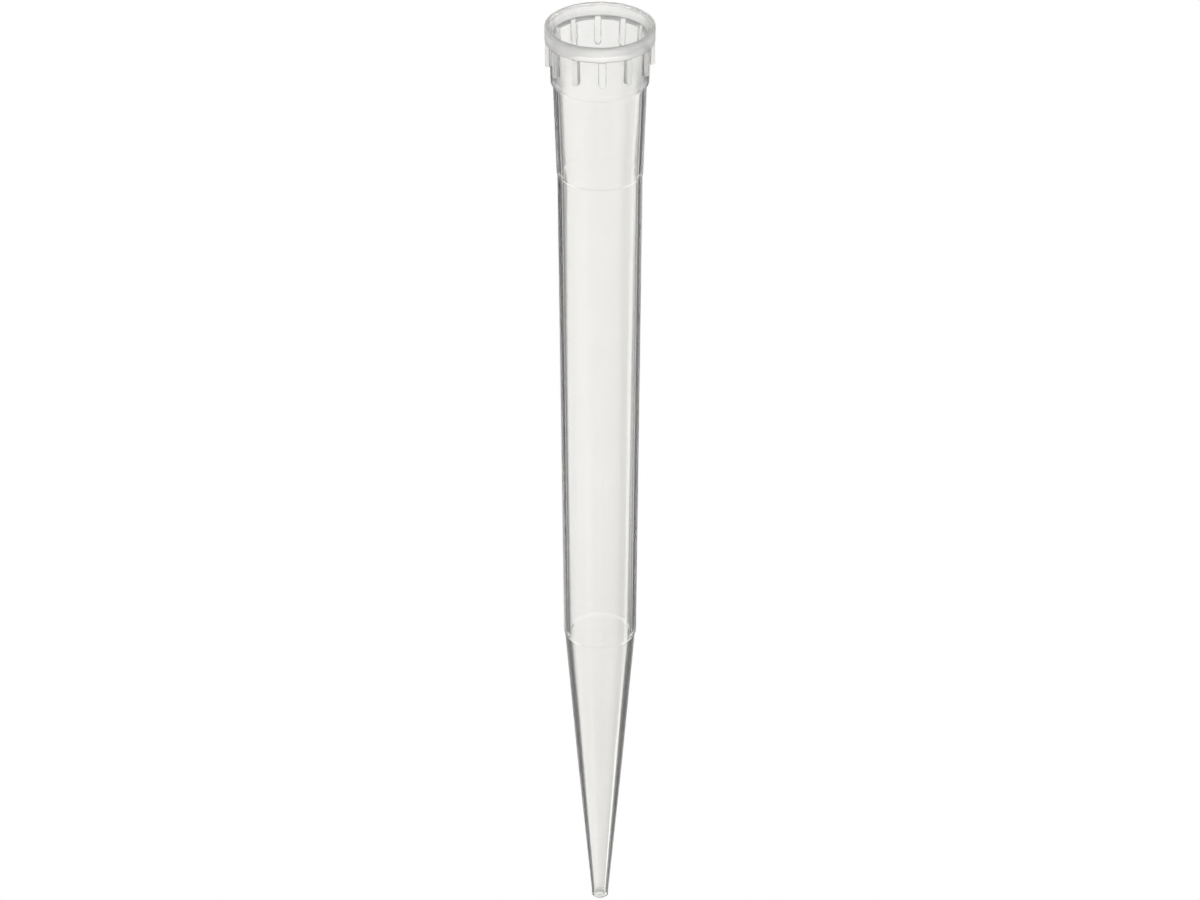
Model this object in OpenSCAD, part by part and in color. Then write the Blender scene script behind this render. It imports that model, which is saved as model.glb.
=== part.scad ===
// Disposable pipette tip, moulded in one piece.
// Frame: the collar's end face lies on z = 0, the tip's axis is Z and the
// nozzle points up, so the tip stands on its wide end.  Millimetres.

/* [Collar] */
// Outer diameter of the rim band round the mouth
rim_d = 16; // [15.8:0.1:16.6]
// Height of the rim band
rim_h = 2.25; // [1.8:0.05:2.6]
// Rounding of the rim band's outer edge at the end face
rim_round = 0.28; // [0.1:0.02:0.3]
// Rounding of the mouth's edge at the end face
lip_round = 0.28; // [0.1:0.02:0.3]
// Rounding of the rim band's other outer edge
ledge_round = 0.15; // [0.05:0.05:0.2]
// Diameter of the mouth at the end face, before its edge is rounded
mouth_d = 14.7; // [14.2:0.1:14.7]
// Outer diameter of the hub just past the rim band
hub_top_d = 14.7; // [14.5:0.1:14.8]
// Hollow round that leads from the rim band's underside into the hub
web_round = 0.25; // [0.1:0.05:0.25]
// Outer diameter of the hub at its far end
hub_end_d = 14.3; // [14.1:0.1:14.5]
// Distance from the end face to the far end of the hub
hub_len = 8.75; // [7.5:0.25:10]

/* [Ribs] */
// Number of grip ribs round the hub
rib_count = 12; // [6:1:16]
// Width of each rib
rib_w = 0.95; // [0.6:0.05:1.3]
// Distance from the end face to the ribs' rounded ends
rib_end = 6.4; // [4:0.1:7]
// How far the ribs' outer faces lie inside the rim band
rib_inset = 0.07; // [0.05:0.01:0.2]
// Turn of the ribs about the axis, in degrees
rib_turn = -2.5; // [-15:0.5:15]

/* [Socket] */
// Depth of the flared lead-in at the mouth
lead_len = 2.1; // [1.5:0.1:2.5]
// Diameter at the inner end of the lead-in
lead_d = 13; // [12.8:0.1:13.2]
// Outer diameter of the skirt next to the hub
skirt_top_d = 13.66; // [13.5:0.02:13.8]
// Outer diameter of the skirt at its far end
skirt_end_d = 12.66; // [12.56:0.02:12.8]
// Distance from the end face to the far end of the skirt
skirt_len = 23.35; // [22:0.15:25]
// Diameter of the bore at the hub's far end
guide_d = 12.12; // [12:0.02:12.3]
// Diameter of the short cylindrical band that seals on the pipette's nose
seal_d = 11.54; // [11.4:0.02:11.7]
// Distance from the end face to the start of the sealing band
seal_start = 15; // [12:0.5:18]
// Length of the sealing band
seal_len = 2; // [1:0.5:3]

/* [Barrel] */
// Outer diameter of the barrel at the skirt
barrel_top_d = 12.44; // [12.3:0.02:12.5]
// Outer diameter of the barrel at the shoulder
barrel_end_d = 10.88; // [10.7:0.02:11]
// Bore diameter where the socket's taper ends and the barrel begins
bore_top_d = 10.9; // [10.7:0.02:11]
// Bore diameter at the shoulder
bore_end_d = 9.18; // [9:0.02:9.3]
// Distance from the end face to the shoulder
shoulder_z = 100.6; // [96:0.2:104]

/* [Cone] */
// Outer diameter of the cone at the shoulder
cone_top_d = 10.6; // [10.5:0.02:10.66]
// Distance from the end face to the slight knee in the cone
knee_z = 124; // [118:1:130]
// Outer diameter of the cone at the knee
knee_d = 6.74; // [6.6:0.02:6.9]
// Bore diameter at the knee
bore_knee_d = 5.76; // [5.6:0.02:5.8]
// Outer diameter of the nozzle
nozzle_d = 2.47; // [2.4:0.01:2.6]
// Extra radius of the fine bead round the nozzle's end
bead = 0.015; // [0.01:0.005:0.05]
// Diameter of the orifice
orifice_d = 1.76; // [1.6:0.02:1.9]
// Overall length from the end face to the orifice
tip_length = 148; // [144:0.5:152]

/* [Hidden] */
$fn = 96;
hub_step = 0.3;       // axial length of the sloped step that ends the hub
skirt_step = 0.22;    // axial length of the sloped step that ends the skirt
shoulder_step = 0.28; // axial length of the sloped step at the shoulder

// Points [r, z] on an arc about [cr, cz], from angle a0 to a1 in n steps.
function arc(cr, cz, rad, a0, a1, n) =
    [for (i = [0 : n]) let (a = a0 + (a1 - a0) * i / n)
        [cr + rad * cos(a), cz + rad * sin(a)]];

// The outside of the wall, from the end face to the orifice.
outside = concat(
    arc(rim_d / 2 - rim_round, rim_round, rim_round, -90, 0, 5),
    arc(rim_d / 2 - ledge_round, rim_h - ledge_round, ledge_round, 0, 90, 3),
    arc(hub_top_d / 2 + web_round, rim_h + web_round, web_round, 270, 180, 4),
    [[hub_end_d / 2, hub_len],
     [skirt_top_d / 2, hub_len + hub_step],
     [skirt_end_d / 2, skirt_len],
     [barrel_top_d / 2, skirt_len + skirt_step],
     [barrel_end_d / 2, shoulder_z],
     [cone_top_d / 2, shoulder_z + shoulder_step],
     [knee_d / 2, knee_z],
     [nozzle_d / 2, tip_length - 0.6],
     [nozzle_d / 2 + bead, tip_length - 0.4],
     [nozzle_d / 2 + bead, tip_length - 0.15],
     [nozzle_d / 2 - 0.095, tip_length]]);

// The lead-in's slope from the axis, which sets where its edge round begins.
lead_slope = atan((mouth_d - lead_d) / 2 / lead_len);

// The inside of the wall, from the orifice back to the mouth.
inside = concat(
    [[orifice_d / 2, tip_length],
     [bore_knee_d / 2, knee_z - 1],
     [bore_end_d / 2, shoulder_z + shoulder_step + 0.07],
     [bore_top_d / 2, skirt_len + 0.15],
     [seal_d / 2, seal_start + seal_len],
     [seal_d / 2, seal_start],
     [guide_d / 2, hub_len + 0.25],
     [lead_d / 2, lead_len]],
    arc(mouth_d / 2 + lip_round * (1 - sin(lead_slope)) / cos(lead_slope),
        lip_round, lip_round, 180 + lead_slope, 270, 5));

// One rib's outline, seen from outside: straight sides and a round end.
module rib_outline() {
    translate([-rib_w / 2, rim_h - 0.2])
        square([rib_w, rib_end - rib_w / 2 - rim_h + 0.2]);
    translate([0, rib_end - rib_w / 2])
        circle(d = rib_w);
}

// A rib rooted in the hub's wall and in the rim band.
module rib_bar() {
    translate([0, -hub_end_d / 2 + 0.15, 0])
        rotate([90, 0, 0])
            linear_extrude(height = 2)
                rib_outline();
}

module ribs() {
    intersection() {
        cylinder(r = rim_d / 2 - rib_inset, h = hub_len);
        union() {
            for (k = [0 : rib_count - 1])
                rotate([0, 0, rib_turn + 360 * k / rib_count])
                    rib_bar();
        }
    }
}

module pipette_tip() {
    color([0.90, 0.91, 0.90, 0.55])
        union() {
            rotate_extrude()
                polygon(concat(outside, inside));
            ribs();
        }
}

pipette_tip();
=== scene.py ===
"""Looks of the clear pipette tip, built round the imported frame.

The tip stands on its collar, nozzle up, as in the row frame.  Metres.
"""
import math

import bpy
import numpy as np
from mathutils import Matrix, Vector


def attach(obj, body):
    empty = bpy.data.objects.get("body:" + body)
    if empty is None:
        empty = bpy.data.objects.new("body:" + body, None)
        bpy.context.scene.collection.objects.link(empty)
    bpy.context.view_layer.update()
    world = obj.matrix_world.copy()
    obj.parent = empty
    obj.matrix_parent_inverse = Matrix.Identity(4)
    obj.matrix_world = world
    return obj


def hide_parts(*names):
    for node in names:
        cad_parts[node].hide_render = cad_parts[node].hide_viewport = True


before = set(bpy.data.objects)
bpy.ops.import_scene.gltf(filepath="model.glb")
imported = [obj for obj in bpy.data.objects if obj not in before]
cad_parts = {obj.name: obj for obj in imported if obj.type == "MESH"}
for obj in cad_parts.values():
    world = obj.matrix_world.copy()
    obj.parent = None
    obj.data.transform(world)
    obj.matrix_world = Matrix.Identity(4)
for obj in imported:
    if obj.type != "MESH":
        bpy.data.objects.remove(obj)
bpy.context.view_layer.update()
scene = bpy.context.scene
MM = 0.001


# ---------------------------------------------------------------- profile
def fillet(points, steps=5, guard=0.04):
    """points: (r, z, radius).  Rounds each inner corner of the line and puts
    a guard point just outside each end of a round, in millimetres."""
    p = [np.array(q[:2], float) for q in points]
    out = [p[0]]
    for i in range(1, len(p) - 1):
        rad = points[i][2]
        if rad <= 0:
            out.append(p[i])
            continue
        u = (p[i - 1] - p[i]) / np.linalg.norm(p[i - 1] - p[i])
        v = (p[i + 1] - p[i]) / np.linalg.norm(p[i + 1] - p[i])
        turn = math.pi - math.acos(max(-1, min(1, float(u @ v))))
        reach = rad * math.tan(turn / 2)
        limit = 0.48 * min(
            np.linalg.norm(p[i - 1] - p[i]), np.linalg.norm(p[i + 1] - p[i])
        )
        if reach > limit:
            rad *= limit / reach
            reach = limit
        a, b = p[i] + u * reach, p[i] + v * reach
        mid = (u + v) / np.linalg.norm(u + v)
        c = p[i] + mid * math.hypot(rad, reach)
        a0 = math.atan2(*(a - c)[::-1])
        a1 = math.atan2(*(b - c)[::-1])
        d = (a1 - a0 + math.pi) % (2 * math.pi) - math.pi
        if np.linalg.norm(p[i - 1] - a) > 3 * guard:
            out.append(a + u * guard)
        for k in range(steps + 1):
            t = a0 + d * k / steps
            out.append(c + rad * np.array([math.cos(t), math.sin(t)]))
        if np.linalg.norm(p[i + 1] - b) > 3 * guard:
            out.append(b + v * guard)
    out.append(p[-1])
    return out


def spread(line, most=4.0):
    """Splits long runs so that no row is longer than most."""
    out = [line[0]]
    for a, b in zip(line, line[1:]):
        n = max(1, math.ceil(np.linalg.norm(b - a) / most))
        for k in range(1, n + 1):
            out.append(a + (b - a) * k / n)
    return out


RIM_H = 2.25
WEB = 0.25                                      # round between the band's underside and the hub
HUB_R0, HUB_R1, HUB_Z1 = 7.35, 7.15, 8.75      # hub: radius at the band and at its end
CELL_Z1 = 6.95                                  # end of the stretch that holds the ribs
RIB_W, RIB_END, RIB_R, RIBS = 0.95, 6.4, 7.93, 12
TURN = math.radians(-2.5)


def hub_r(z):
    """The hub's wall, with the round that leads it into the band's underside."""
    r = HUB_R0 + (HUB_R1 - HUB_R0) * (z - RIM_H) / (HUB_Z1 - RIM_H)
    rest = max(0.0, WEB - (z - RIM_H))
    return r + WEB - math.sqrt(max(0.0, WEB * WEB - rest * rest))


outer = spread(
    fillet(
        [
            (hub_r(CELL_Z1), CELL_Z1, 0),
            (7.15, 8.75, 0.12),
            (6.83, 9.05, 0.12),
            (6.33, 23.35, 0.10),
            (6.22, 23.57, 0.10),
            (5.44, 100.60, 0.10),
            (5.30, 100.88, 0.10),
            (3.37, 124.0, 60.0),
            (1.235, 147.4, 0.4),
            (1.25, 147.6, 0.3),
            (1.25, 147.85, 0.12),
            (1.14, 148.0, 0.08),
            (0.88, 148.0, 0.03),
            (2.88, 123.0, 60.0),
            (4.59, 100.95, 0.4),
            (5.45, 23.5, 60.0),
            (6.06, 9.0, 8.0),
            (6.50, 2.1, 0.6),
            (7.35, 0.0, 0.28),
            (7.66, 0.0, 0),
        ]
    )
)
rim = fillet(
    [
        (7.70, 0.0, 0),
        (8.0, 0.0, 0.28),
        (8.0, RIM_H, 0.15),
        (7.72, RIM_H, 0),
    ],
    steps=6,
)

# ---------------------------------------------------------------- ribs
N_SIDE, N_ARC, N_IN = 28, 20, 4
# offset from the rib's outline (outside positive) and share of the rib's height
LOOPS = [
    (0.20, 0.0), (0.13, 0.0), (0.09, 0.012), (0.055, 0.05), (0.03, 0.13),
    (0.015, 0.28), (0.0, 0.72), (-0.015, 0.86), (-0.04, 0.95), (-0.075, 0.99),
    (-0.11, 1.0), (-0.16, 1.0),
]
Z_C = RIB_END - RIB_W / 2
N_WEB = 7                                       # rows in the round under the band


def side_z(k, end):
    """Height of row k of a straight side that runs from the band to end."""
    if k <= N_WEB:
        return RIM_H + WEB * (1 - math.cos(math.pi / 2 * k / N_WEB))
    return RIM_H + WEB + (end - RIM_H - WEB) * (k - N_WEB) / (N_SIDE - N_WEB)


def u_line(offset):
    """The rib's outline at an offset: (tangential, z) from top left to top right."""
    half = RIB_W / 2 + offset
    pts = [(-half, side_z(k, Z_C)) for k in range(N_SIDE)]
    for k in range(N_ARC + 1):
        a = math.pi - math.pi * k / N_ARC
        pts.append((half * math.cos(a), Z_C + half * math.sin(a)))
    pts += [(half, side_z(k, Z_C)) for k in range(N_SIDE - 1, -1, -1)]
    return pts


verts, faces, index = [], [], {}


def vertex(r, angle, z):
    """angle is measured from -Y towards +X."""
    key = (round(r, 6), round(angle % (2 * math.pi), 7) % 6.2831853, round(z, 6))
    if key not in index:
        index[key] = len(verts)
        verts.append((r * math.sin(angle) * MM, -r * math.cos(angle) * MM, z * MM))
    return index[key]


HALF = math.pi / RIBS
edge_z = [side_z(k, CELL_Z1) for k in range(N_SIDE + 1)]
border = [(-HALF, z) for z in edge_z[:-1]]
border += [(-HALF + 2 * HALF * k / N_ARC, CELL_Z1) for k in range(N_ARC + 1)]
border += [(HALF, z) for z in edge_z[-2::-1]]
N_OUT = 5

top_ring = []  # (angle, radius) of the vertices along the band's underside, all round
for rib in range(RIBS):
    base = TURN + 2 * HALF * rib
    rows = []
    first = [(math.asin(x / hub_r(min(z, CELL_Z1))), z) for x, z in u_line(LOOPS[0][0])]
    for k in range(N_OUT):
        t = k / N_OUT
        rows.append([
            vertex(hub_r(b[1] + (f[1] - b[1]) * t), base + b[0] + (f[0] - b[0]) * t,
                   b[1] + (f[1] - b[1]) * t)
            for b, f in zip(border, first)
        ])
    flat_ring = [(base + b[0] + (f[0] - b[0]) * k / N_OUT, hub_r(RIM_H))
                 for k in range(N_OUT) for b, f in [(border[0], first[0])]]
    for offset, share in LOOPS:
        row = []
        for x, z in u_line(offset):
            r = hub_r(z)
            r += (RIB_R - r) * share
            row.append(vertex(r, base + math.asin(x / r), z))
        rows.append(row)
        x = u_line(offset)[0][0]
        r = hub_r(RIM_H)
        r += (RIB_R - r) * share
        flat_ring.append((base + math.asin(x / r), r))
    for a, b in zip(rows, rows[1:]):
        for k in range(len(a) - 1):
            faces.append((a[k], a[k + 1], b[k + 1], b[k]))
    # the rib's face, as a ladder between the two sides of the last loop
    line = u_line(LOOPS[-1][0])
    n = len(line)
    ladder = []
    for k in range(n // 2):
        (x0, z0), (x1, z1) = line[k], line[n - 1 - k]
        ladder.append([
            vertex(RIB_R, base + math.asin((x0 + (x1 - x0) * j / N_IN) / RIB_R), z0)
            for j in range(N_IN + 1)
        ])
    for a, b in zip(ladder, ladder[1:]):
        for j in range(N_IN):
            faces.append((a[j], b[j], b[j + 1], a[j + 1]))
    last = vertex(RIB_R, base + math.asin(line[n // 2][0] / RIB_R), line[n // 2][1])
    for j in range(N_IN):
        faces.append((ladder[-1][j], last, ladder[-1][j + 1]))
    x0 = line[0][0]
    inner_part = [(base + math.asin((x0 - 2 * x0 * j / N_IN) / RIB_R), RIB_R)
                  for j in range(1, N_IN)]
    mirror = [(2 * base - a, r) for a, r in flat_ring[::-1]]
    top_ring += flat_ring + inner_part + mirror[:-1]  # the last one opens the next cell

# the rim band: rows of rings on the ribs' columns, from the end face to the underside
ring_rows = []
for r, z in rim:
    ring_rows.append([vertex(max(r, rr) if z > RIM_H - 1e-6 else r, a, z)
                      for a, rr in top_ring])
# in to the hub's round, or to the rib's face
ring_rows.append([vertex(rr, a, RIM_H) for a, rr in top_ring])


def strip(a, b, flip=False):
    n = len(a)
    for k in range(n):
        q = (a[k], b[k], b[(k + 1) % n], a[(k + 1) % n])
        q = q[::-1] if flip else q
        seen = []
        for i in q:
            if i not in seen:
                seen.append(i)
        if len(seen) > 2:
            faces.append(tuple(seen))


for a, b in zip(ring_rows, ring_rows[1:]):
    strip(a, b)

# the long body and the bore, from the ribs' stretch to the end face
cols = [TURN - HALF + 2 * HALF * k / N_ARC for k in range(N_ARC * RIBS)]
body_rows = [[vertex(r, a, z) for a in cols] for r, z in outer]
for a, b in zip(body_rows, body_rows[1:]):
    strip(a, b)

# the flat end face joins rings of different counts
ring_a, ring_b = body_rows[-1], ring_rows[0]
ang_a = cols + [cols[0] + 2 * math.pi]
ang_b = [a for a, _ in top_ring] + [top_ring[0][0] + 2 * math.pi]
i = j = 0
na, nb = len(ring_a), len(ring_b)
while i < na or j < nb:
    if j >= nb or (i < na and ang_a[i + 1] <= ang_b[j + 1]):
        faces.append((ring_a[i % na], ring_b[j % nb], ring_a[(i + 1) % na]))
        i += 1
    else:
        faces.append((ring_a[i % na], ring_b[j % nb], ring_b[(j + 1) % nb]))
        j += 1

mesh = bpy.data.meshes.new("tip_shell")
mesh.from_pydata(verts, [], faces)
mesh.validate(verbose=False)
import bmesh

bm = bmesh.new()
bm.from_mesh(mesh)
bmesh.ops.recalc_face_normals(bm, faces=bm.faces)
bad = [e for e in bm.edges if not e.is_manifold]
print("TIP verts", len(bm.verts), "faces", len(bm.faces), "tris",
      sum(len(f.verts) - 2 for f in bm.faces), "non-manifold", len(bad),
      "volume mm3", bm.calc_volume(signed=True) * 1e9)
for e in bad[:5]:
    print("   open edge", [tuple(round(c * 1000, 3) for c in v.co) for v in e.verts])
bm.to_mesh(mesh)
bm.free()
for poly in mesh.polygons:
    poly.use_smooth = True
tip = bpy.data.objects.new("tip_shell", mesh)
scene.collection.objects.link(tip)

# ---------------------------------------------------------------- material
def socket(node, name, value):
    node.inputs[name].default_value = value


mat = bpy.data.materials.new("clear_polypropylene")
mat.use_nodes = True
nt = mat.node_tree
bsdf = nt.nodes["Principled BSDF"]
socket(bsdf, "IOR", 1.49)
socket(bsdf, "Subsurface Weight", 1.0)
socket(bsdf, "Subsurface Radius", (1.0, 1.0, 0.95))
socket(bsdf, "Subsurface Scale", 0.0012)


def mnode(kind, **set_):
    n = nt.nodes.new(kind)
    for k, v in set_.items():
        setattr(n, k, v)
    return n


def remap(value, lo, hi, a, b, kind="SMOOTHSTEP"):
    n = mnode("ShaderNodeMapRange", interpolation_type=kind)
    for name, v in (("From Min", lo), ("From Max", hi), ("To Min", a), ("To Max", b)):
        socket(n, name, v)
    nt.links.new(value, n.inputs["Value"])
    return n.outputs["Result"]


mtc = mnode("ShaderNodeTexCoord")
mxyz = mnode("ShaderNodeSeparateXYZ")
nt.links.new(mtc.outputs["Object"], mxyz.inputs[0])
mz = mxyz.outputs["Z"]
grain = mnode("ShaderNodeTexNoise")
socket(grain, "Scale", 900.0)
socket(grain, "Detail", 3.0)
nt.links.new(mtc.outputs["Object"], grain.inputs["Vector"])
cloud = mnode("ShaderNodeTexNoise")
socket(cloud, "Scale", 150.0)
socket(cloud, "Detail", 2.0)
nt.links.new(mtc.outputs["Object"], cloud.inputs["Vector"])
def mcalc(op, x, y):
    n = mnode("ShaderNodeMath", operation=op)
    for i, v in enumerate((x, y)):
        if isinstance(v, (int, float)):
            n.inputs[i].default_value = v
        else:
            nt.links.new(v, n.inputs[i])
    return n.outputs[0]


# the mould is polished but for the collar: the band and the ribs are matt and milky, the hub less so
radial = mcalc("SQRT", mcalc("ADD", mcalc("MULTIPLY", mxyz.outputs["X"], mxyz.outputs["X"]),
                             mcalc("MULTIPLY", mxyz.outputs["Y"], mxyz.outputs["Y"])), 0.0)
outside = remap(mcalc("ADD", radial, mcalc("MULTIPLY", mcalc("MINIMUM", mz, 0.003), 0.3)),
                0.00737, 0.00739, 0.0, 1.0)
in_collar = remap(mz, 0.0085, 0.0095, 1.0, 0.0)
in_band = remap(mz, 0.0022, 0.0024, 1.0, 0.0)
on_rib = mcalc("MULTIPLY", in_collar, remap(radial, 0.00738, 0.00746, 0.0, 1.0))
matt_hub = mcalc("MULTIPLY", outside, in_collar)
matt_band = mcalc("MULTIPLY", outside, in_band)
# painted shade: the corner under the band, between the ribs, is greyed and made milkier to stand for the dark line
# at the ledge
corner = mcalc("MULTIPLY",
               mcalc("MULTIPLY", remap(mz, 0.00215, 0.00222, 0.0, 1.0),
                     remap(mz, 0.00242, 0.00254, 1.0, 0.0)),
               mcalc("MULTIPLY", remap(radial, 0.00733, 0.00735, 0.0, 1.0),
                     remap(radial, 0.00780, 0.00792, 1.0, 0.0)))
# painted shade: the lip and the band's lower edge are greyed and made milkier
lip = mcalc("MAXIMUM", remap(mz, 0.00022, 0.00042, 1.0, 0.0),
            mcalc("MULTIPLY", outside, remap(mz, 0.0003, 0.0009, 0.5, 0.0)))
# painted shade: the band's upper part is greyed too, most at its top edge
brow = mcalc("MULTIPLY", mcalc("ADD", mcalc("MULTIPLY", remap(mz, 0.00203, 0.00213, 0.0, 1.0),
                                          remap(mz, 0.0023, 0.0024, 1.0, 0.0)),
                               mcalc("MULTIPLY", remap(mz, 0.0012, 0.0017, 0.0, 0.22),
                                     remap(mz, 0.0020, 0.0021, 1.0, 0.0))),
             remap(radial, 0.00778, 0.00784, 0.0, 1.0))
# all painted shade, with the nozzle's end greyed to hold down its highlight
painted_grey_shade = mcalc("MAXIMUM", mcalc("MAXIMUM", mcalc("MULTIPLY", lip, 0.60), brow), remap(mz, 0.1470, 0.1477, 0.0, 0.6))
rough = mcalc("MAXIMUM", mcalc("MAXIMUM", remap(matt_hub, 0.0, 1.0, 0.05, 0.20, "LINEAR"),
                               mcalc("MULTIPLY", in_band, 0.17)),
              mcalc("MAXIMUM", mcalc("MULTIPLY", matt_band, 0.28),
                    mcalc("MULTIPLY", on_rib, remap(in_band, 0.0, 1.0, 0.64, 0.72, "LINEAR"))))
clear_share = mcalc("MINIMUM", remap(in_collar, 0.0, 1.0, 0.985, 0.965, "LINEAR"),
                    mcalc("MINIMUM", mcalc("MINIMUM", remap(in_band, 0.0, 1.0, 1.0, 0.955, "LINEAR"),
                                           remap(matt_band, 0.0, 1.0, 1.0, 0.86, "LINEAR")),
                          remap(on_rib, 0.0, 1.0, 1.0, 0.94, "LINEAR")))
# the corner's painted shade also lowers the clear share
clear_share = mcalc("MINIMUM", clear_share, remap(corner, 0.0, 1.0, 1.0, 0.40, "LINEAR"))
# the painted grey shade on the lip, the band and the nozzle end also lowers the clear share
clear_share = mcalc("MINIMUM", clear_share, remap(painted_grey_shade, 0.0, 1.0, 1.0, 0.66, "LINEAR"))
rough_noise = remap(cloud.outputs["Fac"], 0.3, 0.7, 0.85, 1.15, "LINEAR")
mul = mnode("ShaderNodeMath", operation="MULTIPLY")
nt.links.new(rough, mul.inputs[0])
nt.links.new(rough_noise, mul.inputs[1])
nt.links.new(mul.outputs[0], bsdf.inputs["Roughness"])
nt.links.new(clear_share, bsdf.inputs["Transmission Weight"])
drawn = mnode("ShaderNodeMapping")
socket(drawn, "Scale", (1.0, 1.0, 0.012))
nt.links.new(mtc.outputs["Object"], drawn.inputs["Vector"])
streak = mnode("ShaderNodeTexNoise")                # faint flow lines along the tip
socket(streak, "Scale", 700.0)
socket(streak, "Detail", 2.0)
nt.links.new(drawn.outputs["Vector"], streak.inputs["Vector"])
flow = remap(mcalc("ADD", mcalc("MULTIPLY", cloud.outputs["Fac"], 0.4),
                   mcalc("MULTIPLY", streak.outputs["Fac"], 0.6)), 0.35, 0.65, 0.0, 1.0, "LINEAR")
tint = mnode("ShaderNodeMix", data_type="RGBA")
tint.inputs["A"].default_value = (0.965, 0.959, 0.939, 1)
tint.inputs["B"].default_value = (0.99, 0.985, 0.969, 1)
nt.links.new(flow, tint.inputs["Factor"])
# painted shade: the colour greys towards grazing view angles, darkening the outlines, less on the collar and skirt
# and not on the ribs
facing = mnode("ShaderNodeLayerWeight")
socket(facing, "Blend", 0.5)
painted_edge_shade = mcalc("MULTIPLY", remap(facing.outputs["Facing"], 0.66, 0.86, 0.0, 1.0),
              mcalc("MULTIPLY", remap(mz, 0.0226, 0.0246, 0.58, 1.0),
                    remap(on_rib, 0.0, 1.0, 1.0, 0.0, "LINEAR")))
# painted shade colour of the grazing edges
edge = mnode("ShaderNodeMix", data_type="RGBA")
edge.inputs["B"].default_value = (0.30, 0.30, 0.30, 1)
nt.links.new(painted_edge_shade, edge.inputs["Factor"])
nt.links.new(tint.outputs["Result"], edge.inputs["A"])
# painted shade colour for the corner under the band
shade = mnode("ShaderNodeMix", data_type="RGBA")
shade.inputs["B"].default_value = (0.42, 0.415, 0.41, 1)
nt.links.new(corner, shade.inputs["Factor"])
# painted shade colour for the lip, the band and the nozzle end
grey = mnode("ShaderNodeMix", data_type="RGBA")
grey.inputs["B"].default_value = (0.39, 0.39, 0.385, 1)
nt.links.new(painted_grey_shade, grey.inputs["Factor"])
nt.links.new(edge.outputs["Result"], grey.inputs["A"])
nt.links.new(grey.outputs["Result"], shade.inputs["A"])
nt.links.new(shade.outputs["Result"], bsdf.inputs["Base Color"])
line = mnode("ShaderNodeTexNoise")
socket(line, "Scale", 1300.0)
socket(line, "Detail", 2.0)
nt.links.new(drawn.outputs["Vector"], line.inputs["Vector"])
bump = mnode("ShaderNodeBump")
socket(bump, "Strength", 0.2)
socket(bump, "Distance", 0.00003)
nt.links.new(mcalc("ADD", mcalc("MULTIPLY", grain.outputs["Fac"], matt_hub),
                   mcalc("MULTIPLY", line.outputs["Fac"], 0.8)), bump.inputs["Height"])
nt.links.new(bump.outputs["Normal"], bsdf.inputs["Normal"])
tip.data.materials.append(mat)

# ---------------------------------------------------------------- floor
bm = bmesh.new()
bmesh.ops.create_circle(bm, cap_ends=True, radius=1.5, segments=96)
floor_mesh = bpy.data.meshes.new("floor")
bm.to_mesh(floor_mesh)
bm.free()
floor = bpy.data.objects.new("floor", floor_mesh)
scene.collection.objects.link(floor)
floor.location = (0, 0, -0.00005)
fmat = bpy.data.materials.new("floor")
fmat.use_nodes = True
fn = fmat.node_tree
fb = fn.nodes["Principled BSDF"]
socket(fb, "Base Color", (0.74, 0.74, 0.735, 1))
socket(fb, "Roughness", 0.9)
socket(fb, "Specular IOR Level", 0.1)
geo = fn.nodes.new("ShaderNodeNewGeometry")
clear = fn.nodes.new("ShaderNodeBsdfTransparent")
mix = fn.nodes.new("ShaderNodeMixShader")
coord = fn.nodes.new("ShaderNodeTexCoord")
length = fn.nodes.new("ShaderNodeVectorMath")
length.operation = "LENGTH"
fade = fn.nodes.new("ShaderNodeMapRange")
fade.interpolation_type = "SMOOTHSTEP"
socket(fade, "From Min", 0.25)
socket(fade, "From Max", 1.4)
both = fn.nodes.new("ShaderNodeMath")
both.operation = "MAXIMUM"
fn.links.new(coord.outputs["Object"], length.inputs[0])
fn.links.new(length.outputs["Value"], fade.inputs["Value"])
fn.links.new(fade.outputs["Result"], both.inputs[0])
fn.links.new(geo.outputs["Backfacing"], both.inputs[1])
fn.links.new(both.outputs[0], mix.inputs["Fac"])
fn.links.new(fb.outputs[0], mix.inputs[1])
fn.links.new(clear.outputs[0], mix.inputs[2])
fn.links.new(mix.outputs[0], fn.nodes["Material Output"].inputs["Surface"])
floor.data.materials.append(fmat)
floor.visible_glossy = False
floor.visible_transmission = False
floor.visible_diffuse = False
floor.visible_shadow = False


def lamp(name, place, radius, power):
    """A round softbox that lights the milky parts; it has no image in the clear ones."""
    data = bpy.data.lights.new(name, "AREA")
    data.shape = "DISK"
    data.size = 2 * radius
    data.energy = power
    ob = bpy.data.objects.new(name, data)
    scene.collection.objects.link(ob)
    ob.location = place
    ob.rotation_euler = (-Vector(place)).to_track_quat("-Z", "Y").to_euler()
    ob.visible_camera = False
    ob.visible_glossy = False
    ob.visible_transmission = False


lamp("softbox_low", (0.0, -0.50, -0.22), 0.35, 5.5)

# ---------------------------------------------------------------- light
world = bpy.data.worlds.new("studio")
scene.world = world
world.use_nodes = True
wn = world.node_tree
wn.nodes.clear()


def node(kind, **set_):
    n = wn.nodes.new(kind)
    for k, v in set_.items():
        setattr(n, k, v)
    return n


def math_node(op, a, b=None, c=None):
    n = node("ShaderNodeMath", operation=op)
    for i, v in enumerate((a, b, c)):
        if v is None:
            continue
        if isinstance(v, (int, float)):
            n.inputs[i].default_value = v
        else:
            wn.links.new(v, n.inputs[i])
    return n.outputs[0]


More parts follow.
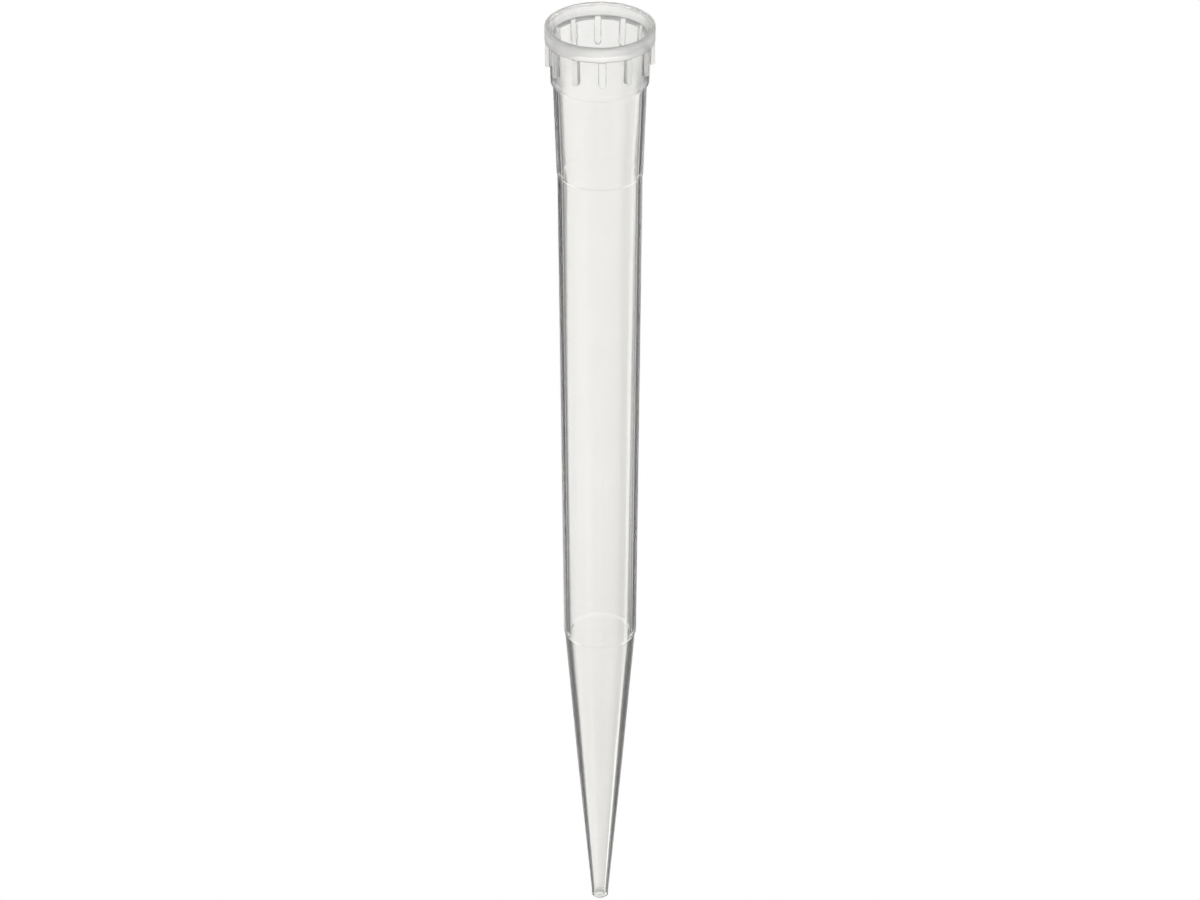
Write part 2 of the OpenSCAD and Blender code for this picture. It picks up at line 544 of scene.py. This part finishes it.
def ramp(fac, stops, interpolation="EASE"):
    n = node("ShaderNodeValToRGB")
    n.color_ramp.interpolation = interpolation
    el = n.color_ramp.elements
    while len(el) > 1:
        el.remove(el[0])
    el[0].position = stops[0][0]
    el[0].color = (stops[0][1],) * 3 + (1,)
    for p, v in stops[1:]:
        e = el.new(p)
        e.color = (v,) * 3 + (1,)
    wn.links.new(fac, n.inputs["Fac"])
    return n.outputs["Color"]


tc = node("ShaderNodeTexCoord")
sep = node("ShaderNodeSeparateXYZ")
wn.links.new(tc.outputs["Generated"], sep.inputs[0])
X, Y, Z = sep.outputs
turn = math_node("ARCTAN2", math_node("MULTIPLY", X, -1), Y)      # 0 along +Y, positive towards -X
side = math_node("DIVIDE", math_node("ABSOLUTE", turn), math.pi)  # 0 in front, 1 behind


def ring(stops):
    """stops: (degrees from +Y, brightness)"""
    return ramp(side, [(a / 180, v / 4) for a, v in stops], "LINEAR")


# the ring of light at about 29 degrees up: a grey card, black flags, and softboxes round the back
to_left = ring([
    (0, 0.85), (1.2, 0.86), (2.5, 0.92), (4.5, 0.93), (7, 0.905), (9, 0.87), (13, 0.83),
    (15.5, 0.93), (30, 0.93), (32, 0.0), (36, 0.0), (40, 0.50), (44, 0.60), (47, 0.0), (53, 0.0),
    (58, 1.3), (82, 1.3), (88, 0.8), (100, 0.8), (108, 1.2), (180, 1.2),
])
# the left black flag's near edge leans outwards, the higher the farther
flag = node("ShaderNodeMapRange", interpolation_type="SMOOTHSTEP")
wn.links.new(math_node("MULTIPLY_ADD", Z, -225.0, math_node("MULTIPLY_ADD", side, 180.0, 225.0 * 0.4679)),
             flag.inputs["Value"])
for name, v in (("From Min", 16.6), ("From Max", 18.0), ("To Min", 1.0), ("To Max", 0.0)):
    socket(flag, name, v)
past = math_node("GREATER_THAN", side, 34.0 / 180)
hold = node("ShaderNodeVectorMath", operation="SCALE")
wn.links.new(to_left, hold.inputs[0])
wn.links.new(math_node("MAXIMUM", flag.outputs["Result"], past), hold.inputs["Scale"])
to_left = hold.outputs["Vector"]
to_right = ring([
    (0, 0.85), (2, 0.855), (3.5, 0.85), (5, 0.81), (7, 0.745), (9, 0.72), (10.4, 0.68),
    (11.5, 0.90), (12.8, 0.99), (17.0, 0.99), (18.4, 0.05), (36, 0.0), (40, 0.36), (44, 0.60),
    (48, 0.08), (52, 0.3), (56, 1.3), (84, 1.3), (90, 0.8), (96, 0.7), (122, 0.7), (130, 0.8),
    (160, 1.0), (180, 1.2),
])
# its lower part, behind the collar: a narrower flag on one side
to_right_low = ring([
    (0, 0.85), (2, 0.87), (3.5, 0.875), (5, 0.825), (7, 0.77), (9, 0.73), (10.8, 0.68), (12.4, 0.94),
    (20.5, 0.95), (23.8, 0.05), (36, 0.0), (40, 0.36), (44, 0.60), (48, 0.08), (52, 0.3), (56, 1.3),
    (84, 1.3), (90, 0.8), (96, 0.7), (122, 0.7), (130, 0.8), (160, 1.0), (180, 1.2),
])
# its upper part, behind the nozzle: wider flags
to_left_up = ring([
    (0, 0.86), (2, 0.93), (3.5, 1.0), (5, 0.99), (9, 0.95), (13, 0.88), (16, 1.0), (18.5, 1.0),
    (20, 0.16), (72, 0.16), (80, 1.2), (180, 1.2),
])
to_right_up = ring([
    (0, 0.86), (2, 0.83), (5, 0.77), (9, 0.71), (11, 0.66), (12.5, 1.2), (14, 1.35), (17, 1.35),
    (18.5, 0.16), (72, 0.16), (80, 1.2), (90, 0.8), (122, 0.7), (130, 0.8), (160, 1.0),
    (180, 1.2),
])
above = ring([(0, 1.75), (30, 1.75), (60, 2.5), (80, 2.0), (100, 1.3), (150, 0.9), (180, 0.9)])
# under the ring: two strips, then the cards and the table that other sides are seen against
upper_strip = ring([(0, 0.90), (50, 0.95), (80, 1.4), (180, 1.4)])
lower_strip = ring([(0, 0.71), (45, 0.74), (70, 1.0), (90, 1.5), (180, 1.5)])
cards = ring([(0, 0.88), (10, 0.88), (16, 0.5), (29, 0.5), (35, 0.92), (55, 0.92), (61, 0.5),
              (74, 0.5), (80, 0.92), (100, 0.92), (106, 0.5), (119, 0.5), (125, 0.92),
              (145, 0.92), (151, 0.5), (164, 0.5), (170, 0.92), (180, 0.92)])
dark_card = ring([(0, 0.7), (20, 0.7), (35, 0.9), (180, 0.9)])
table = ring([(0, 0.9), (180, 0.9)])


def blend(fac, a, b):
    n = node("ShaderNodeMix", data_type="RGBA")
    wn.links.new(fac, n.inputs["Factor"])
    wn.links.new(a, n.inputs["A"])
    wn.links.new(b, n.inputs["B"])
    return n.outputs["Result"]


def rise(lo, hi):
    n = node("ShaderNodeMapRange", interpolation_type="SMOOTHSTEP")
    socket(n, "From Min", math.sin(math.radians(lo)))
    socket(n, "From Max", math.sin(math.radians(hi)))
    wn.links.new(Z, n.inputs["Value"])
    return n.outputs["Result"]


# and the lowest part on the left, behind the mouth, is a little brighter
to_left_low = ring([
    (0, 0.87), (1.2, 0.93), (2.5, 1.0), (9, 0.99), (15, 1.02), (20, 1.02), (24, 0.0), (36, 0.0), (40, 0.50),
    (44, 0.60), (47, 0.0), (53, 0.0), (58, 1.3), (82, 1.3), (88, 0.8), (100, 0.8), (108, 1.2), (180, 1.2),
])
right_side = math_node("GREATER_THAN", turn, 0)
main_ring = blend(right_side, blend(rise(25.65, 26.0), to_left_low, to_left),
                  blend(rise(27.0, 28.4), to_right_low, to_right))
main_ring = blend(rise(30.5, 31.7), main_ring, blend(right_side, to_left_up, to_right_up))
dim = node("ShaderNodeVectorMath", operation="SCALE")     # and it darkens a little upwards
wn.links.new(main_ring, dim.inputs[0])
wn.links.new(math_node("MULTIPLY_ADD", rise(29.2, 31.6), -0.10, 0.99), dim.inputs["Scale"])
main_ring = dim.outputs["Vector"]
light = blend(rise(-36, -33), table, dark_card)
light = blend(rise(-28, -26), light, cards)
light = blend(rise(0, 4), light, lower_strip)
light = blend(rise(12.5, 14.5), light, upper_strip)
light = blend(rise(18, 21), light, main_ring)
light = blend(rise(37, 41), light, above)
light = blend(rise(58, 62), light, ring([(0, 0.45), (180, 0.45)]))   # a dark gap overhead
studio = node("ShaderNodeBackground")
wn.links.new(light, studio.inputs["Color"])
socket(studio, "Strength", 4.0)
white = node("ShaderNodeBackground")
socket(white, "Color", (1, 1, 1, 1))
path = node("ShaderNodeLightPath")
seen = node("ShaderNodeMixShader")
wn.links.new(path.outputs["Is Camera Ray"], seen.inputs["Fac"])
wn.links.new(studio.outputs[0], seen.inputs[1])
wn.links.new(white.outputs[0], seen.inputs[2])
out = node("ShaderNodeOutputWorld")
wn.links.new(seen.outputs[0], out.inputs["Surface"])

# ---------------------------------------------------------------- camera
cam = bpy.data.objects.new("camera", bpy.data.cameras.new("camera"))
scene.collection.objects.link(cam)
scene.camera = cam
cam.data.sensor_width = 36
cam.data.lens = 210
elev = math.radians(29.0)
look = Vector((0, math.cos(elev), math.sin(elev)))        # up through the floor's side
up = Vector((0, math.sin(elev), -math.cos(elev)))         # the collar is at the top
right = look.cross(up)
aim = Vector((0, 0, 0.06983))
place = aim - look * 1.0401
m = Matrix((right, up, -look)).transposed().to_4x4()
m.translation = place
cam.matrix_world = m
cam.data.clip_start, cam.data.clip_end = 0.01, 20

scene.view_settings.view_transform = "Standard"
scene.view_settings.look = "None"
scene.cycles.sample_clamp_indirect = 12.0
scene.cycles.max_bounces = 24
scene.cycles.transmission_bounces = 20
scene.cycles.glossy_bounces = 12
scene.cycles.transparent_max_bounces = 16

# ---------------------------------------------------------------- frame
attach(tip, "root")
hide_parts("pipette_tip")
